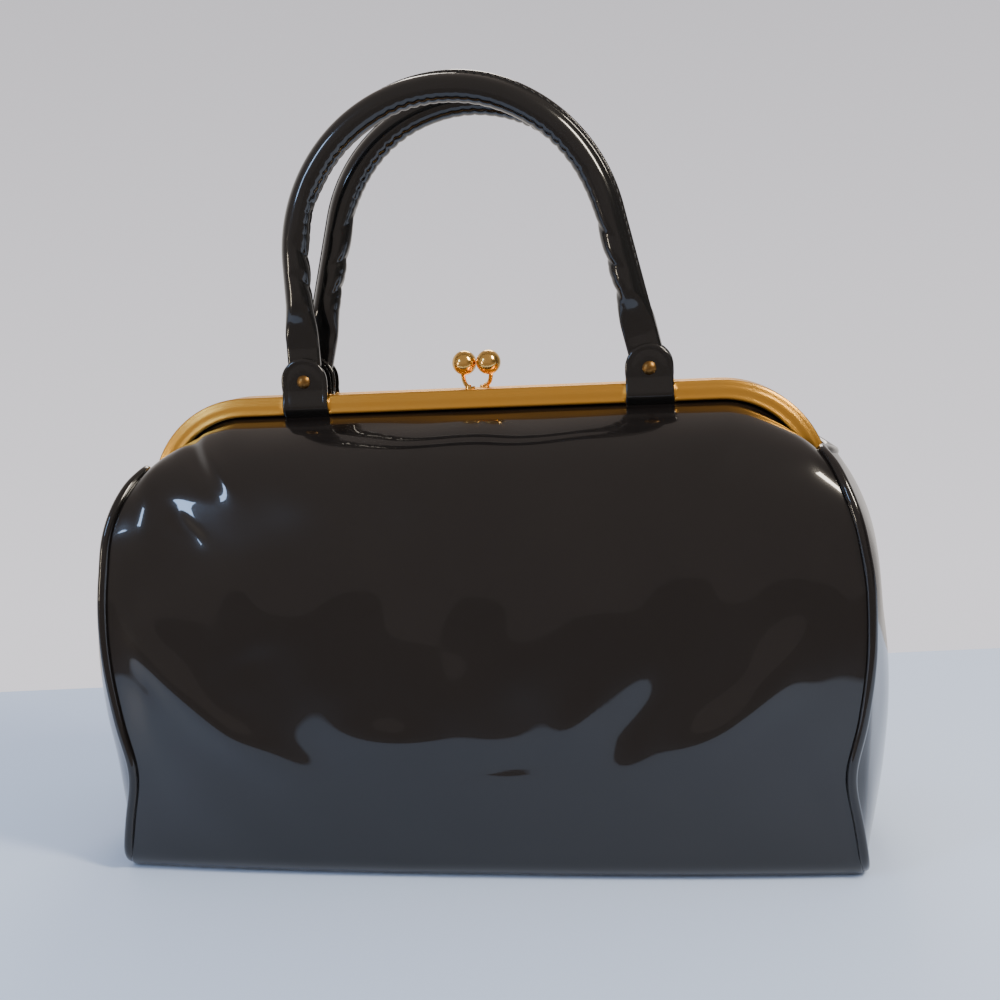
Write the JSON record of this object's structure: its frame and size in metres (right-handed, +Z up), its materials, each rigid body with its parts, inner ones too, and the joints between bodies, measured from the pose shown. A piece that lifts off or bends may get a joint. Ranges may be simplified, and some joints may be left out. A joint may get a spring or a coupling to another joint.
{
  "type": "kiss lock frame purse",
  "caption": "Top-handle handbag in glossy vinyl with a hinged metal frame, crossing ball clasp, two rolled handles on riveted tabs and piped, bulging side gussets.",
  "frame": {"origin": "centre of the flat bottom, on the surface that the bag stands on", "axes": "+X along the frame from the left end to the right end as seen from the front, -Y out of the front, +Z up"},
  "size_m": [0.3576, 0.13, 0.3416],
  "materials": {
    "patent_vinyl": "high gloss black patent vinyl on a cloth backing",
    "gold_plate": "polished gold plate, slightly worn",
    "aged_brass": "antique brass, polished on the domes",
    "board": "bare pressed board",
    "lining_cloth": "dark woven cloth",
    "rope": "twisted cotton rope"
  },
  "bodies": {
    "bag": {"main_panel": "patent_vinyl", "gusset_left": "patent_vinyl", "gusset_right": "patent_vinyl", "piping_left": "patent_vinyl", "piping_right": "patent_vinyl", "base_board": "board", "lining": "lining_cloth", "hinge_rivet_left": "gold_plate", "hinge_rivet_right": "gold_plate"},
    "frame_front": {"frame_front": "gold_plate", "panel_front_upper": "patent_vinyl", "knob_front": "gold_plate"},
    "frame_back": {"frame_back": "gold_plate", "panel_back_upper": "patent_vinyl", "knob_back": "gold_plate"},
    "handle_front": {"handle_front": "patent_vinyl", "handle_core_front": "rope", "tab_front_left": "patent_vinyl", "tab_front_right": "patent_vinyl", "rivet_front_left": "aged_brass", "rivet_front_right": "aged_brass", "washer_front_left": "aged_brass", "washer_front_right": "aged_brass"},
    "handle_back": {"handle_back": "patent_vinyl", "handle_core_back": "rope", "tab_back_left": "patent_vinyl", "tab_back_right": "patent_vinyl", "rivet_back_left": "aged_brass", "rivet_back_right": "aged_brass", "washer_back_left": "aged_brass", "washer_back_right": "aged_brass"}
  },
  "joints": [
    {"name": "frame_front_hinge", "type": "hinge", "parent": "bag", "child": "frame_front", "pos_m": [0, 0, 0.15], "axis": [1, 0, 0], "range_deg": [0, 40]},
    {"name": "frame_back_hinge", "type": "hinge", "parent": "bag", "child": "frame_back", "pos_m": [0, 0, 0.15], "axis": [-1, 0, 0], "range_deg": [0, 40]},
    {"name": "handle_front_swing", "type": "hinge", "parent": "frame_front", "child": "handle_front", "pos_m": [0, -0.0063, 0.20075], "axis": [1, 0, 0], "range_deg": [-3, 85]},
    {"name": "handle_back_swing", "type": "hinge", "parent": "frame_back", "child": "handle_back", "pos_m": [0, 0.0063, 0.20075], "axis": [-1, 0, 0], "range_deg": [-3, 85]}
  ],
  "couplings": [
    {"joint": "frame_back_hinge", "follows": "frame_front_hinge", "ratio": 1}
  ]
}
